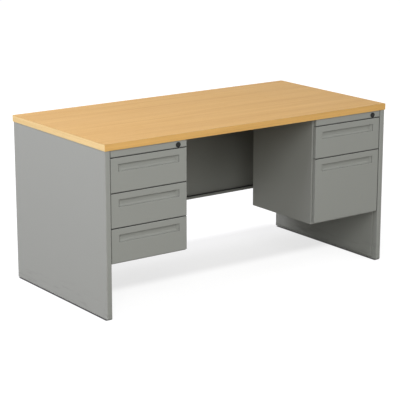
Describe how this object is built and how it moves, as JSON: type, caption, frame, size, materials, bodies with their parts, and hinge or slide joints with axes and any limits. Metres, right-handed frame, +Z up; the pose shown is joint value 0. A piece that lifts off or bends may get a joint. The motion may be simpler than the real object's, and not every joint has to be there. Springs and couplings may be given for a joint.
{
  "type": "pedestal desk",
  "caption": "Steel desk with a wood-grain laminate top on flat end panels, a box-drawer pedestal, a box-and-file pedestal with locks, and a modesty panel.",
  "frame": {"origin": "on the floor under the middle of the top", "axes": "+X along the desk to the sitter's right, +Y from the sitter to the back, +Z up"},
  "size_m": [1.524, 0.762, 0.7493],
  "materials": {
    "wood_laminate": "satin printed oak-grain laminate",
    "wood_edge_band": "satin printed oak-grain edge band",
    "flake_board": "raw pressed board",
    "grey_enamel": "semi-gloss baked enamel, fine orange peel",
    "zinc_steel": "zinc plated",
    "glide_nylon": "moulded",
    "lock_black": "black",
    "lock_metal": "dark plated",
    "guide_plastic": "moulded",
    "bumper_rubber": "matt"
  },
  "bodies": {
    "frame": {"case_back_left": "grey_enamel", "case_back_right": "grey_enamel", "case_floor_left": "grey_enamel", "case_floor_right": "grey_enamel", "case_liner_left": "grey_enamel", "case_liner_right": "grey_enamel", "case_side_left": "grey_enamel", "case_side_right": "grey_enamel", "drawer_bumpers": "bumper_rubber", "end_panel_liner_left": "grey_enamel", "end_panel_liner_right": "grey_enamel", "end_panel_skin_left": "grey_enamel", "end_panel_skin_right": "grey_enamel", "glide_nuts": "zinc_steel", "lock_guides_left": "guide_plastic", "lock_guides_right": "guide_plastic", "lock_housing_left": "lock_black", "lock_housing_right": "lock_black", "lock_rail_left": "grey_enamel", "lock_rail_right": "grey_enamel", "modesty_bolts": "zinc_steel", "modesty_panel": "grey_enamel", "slide_fixed_left": "zinc_steel", "slide_fixed_right": "zinc_steel", "top_core": "flake_board", "top_edge_band": "wood_edge_band", "top_laminate": "wood_laminate", "top_screws": "zinc_steel"},
    "drawer_left_top": {"front_left_top": "grey_enamel", "tub_left_top": "grey_enamel", "slide_inner_left_top": "zinc_steel"},
    "runner_left_top": {"slide_mid_left_top": "zinc_steel"},
    "drawer_left_middle": {"front_left_middle": "grey_enamel", "tub_left_middle": "grey_enamel", "slide_inner_left_middle": "zinc_steel"},
    "runner_left_middle": {"slide_mid_left_middle": "zinc_steel"},
    "drawer_left_bottom": {"front_left_bottom": "grey_enamel", "tub_left_bottom": "grey_enamel", "slide_inner_left_bottom": "zinc_steel"},
    "runner_left_bottom": {"slide_mid_left_bottom": "zinc_steel"},
    "drawer_right_top": {"front_right_top": "grey_enamel", "tub_right_top": "grey_enamel", "slide_inner_right_top": "zinc_steel"},
    "runner_right_top": {"slide_mid_right_top": "zinc_steel"},
    "drawer_right_file": {"front_right_file": "grey_enamel", "tub_right_file": "grey_enamel", "slide_inner_right_file": "zinc_steel", "file_hang_rails": "guide_plastic"},
    "runner_right_file": {"slide_mid_right_file": "zinc_steel"},
    "lock_left": {"lock_plug_left": "lock_metal", "lock_rod_left": "zinc_steel"},
    "gang_bar_left": {"lock_bar_left": "zinc_steel"},
    "lock_right": {"lock_plug_right": "lock_metal", "lock_rod_right": "zinc_steel"},
    "gang_bar_right": {"lock_bar_right": "zinc_steel"},
    "foot_front_left": {"glide_front_left": "glide_nylon"},
    "foot_front_right": {"glide_front_right": "glide_nylon"},
    "foot_back_left": {"glide_back_left": "glide_nylon"},
    "foot_back_right": {"glide_back_right": "glide_nylon"}
  },
  "joints": [
    {"name": "drawer_left_top_slide", "type": "slide", "parent": "frame", "child": "drawer_left_top", "axis": [0, -1, 0], "range_m": [0, 0.38]},
    {"name": "runner_left_top_slide", "type": "slide", "parent": "frame", "child": "runner_left_top", "axis": [0, -1, 0], "range_m": [0, 0.19]},
    {"name": "drawer_left_middle_slide", "type": "slide", "parent": "frame", "child": "drawer_left_middle", "axis": [0, -1, 0], "range_m": [0, 0.38]},
    {"name": "runner_left_middle_slide", "type": "slide", "parent": "frame", "child": "runner_left_middle", "axis": [0, -1, 0], "range_m": [0, 0.19]},
    {"name": "drawer_left_bottom_slide", "type": "slide", "parent": "frame", "child": "drawer_left_bottom", "axis": [0, -1, 0], "range_m": [0, 0.38]},
    {"name": "runner_left_bottom_slide", "type": "slide", "parent": "frame", "child": "runner_left_bottom", "axis": [0, -1, 0], "range_m": [0, 0.19]},
    {"name": "drawer_right_top_slide", "type": "slide", "parent": "frame", "child": "drawer_right_top", "axis": [0, -1, 0], "range_m": [0, 0.38]},
    {"name": "runner_right_top_slide", "type": "slide", "parent": "frame", "child": "runner_right_top", "axis": [0, -1, 0], "range_m": [0, 0.19]},
    {"name": "drawer_right_file_slide", "type": "slide", "parent": "frame", "child": "drawer_right_file", "axis": [0, -1, 0], "range_m": [0, 0.38]},
    {"name": "runner_right_file_slide", "type": "slide", "parent": "frame", "child": "runner_right_file", "axis": [0, -1, 0], "range_m": [0, 0.19]},
    {"name": "gang_bar_left_drop", "type": "slide", "parent": "frame", "child": "gang_bar_left", "axis": [0, 0, -1], "range_m": [0, 0.0113]},
    {"name": "lock_left_turn", "type": "hinge", "parent": "frame", "child": "lock_left", "pos_m": [-0.3976, -0.375, 0.70259], "axis": [0, 1, 0], "range_deg": [0, 90]},
    {"name": "gang_bar_right_drop", "type": "slide", "parent": "frame", "child": "gang_bar_right", "axis": [0, 0, -1], "range_m": [0, 0.0113]},
    {"name": "lock_right_turn", "type": "hinge", "parent": "frame", "child": "lock_right", "pos_m": [0.6886, -0.375, 0.70259], "axis": [0, 1, 0], "range_deg": [0, 90]},
    {"name": "foot_front_left_level", "type": "slide", "parent": "frame", "child": "foot_front_left", "axis": [0, 0, -1], "range_m": [0, 0.025]},
    {"name": "foot_front_right_level", "type": "slide", "parent": "frame", "child": "foot_front_right", "axis": [0, 0, -1], "range_m": [0, 0.025]},
    {"name": "foot_back_left_level", "type": "slide", "parent": "frame", "child": "foot_back_left", "axis": [0, 0, -1], "range_m": [0, 0.025]},
    {"name": "foot_back_right_level", "type": "slide", "parent": "frame", "child": "foot_back_right", "axis": [0, 0, -1], "range_m": [0, 0.025]}
  ],
  "couplings": [
    {"joint": "runner_left_top_slide", "follows": "drawer_left_top_slide", "ratio": 0.5},
    {"joint": "runner_left_middle_slide", "follows": "drawer_left_middle_slide", "ratio": 0.5},
    {"joint": "runner_left_bottom_slide", "follows": "drawer_left_bottom_slide", "ratio": 0.5},
    {"joint": "runner_right_top_slide", "follows": "drawer_right_top_slide", "ratio": 0.5},
    {"joint": "runner_right_file_slide", "follows": "drawer_right_file_slide", "ratio": 0.5},
    {"joint": "lock_left_turn", "follows": "gang_bar_left_drop", "rad_per_m": 138.84},
    {"joint": "lock_right_turn", "follows": "gang_bar_right_drop", "rad_per_m": 138.84}
  ]
}
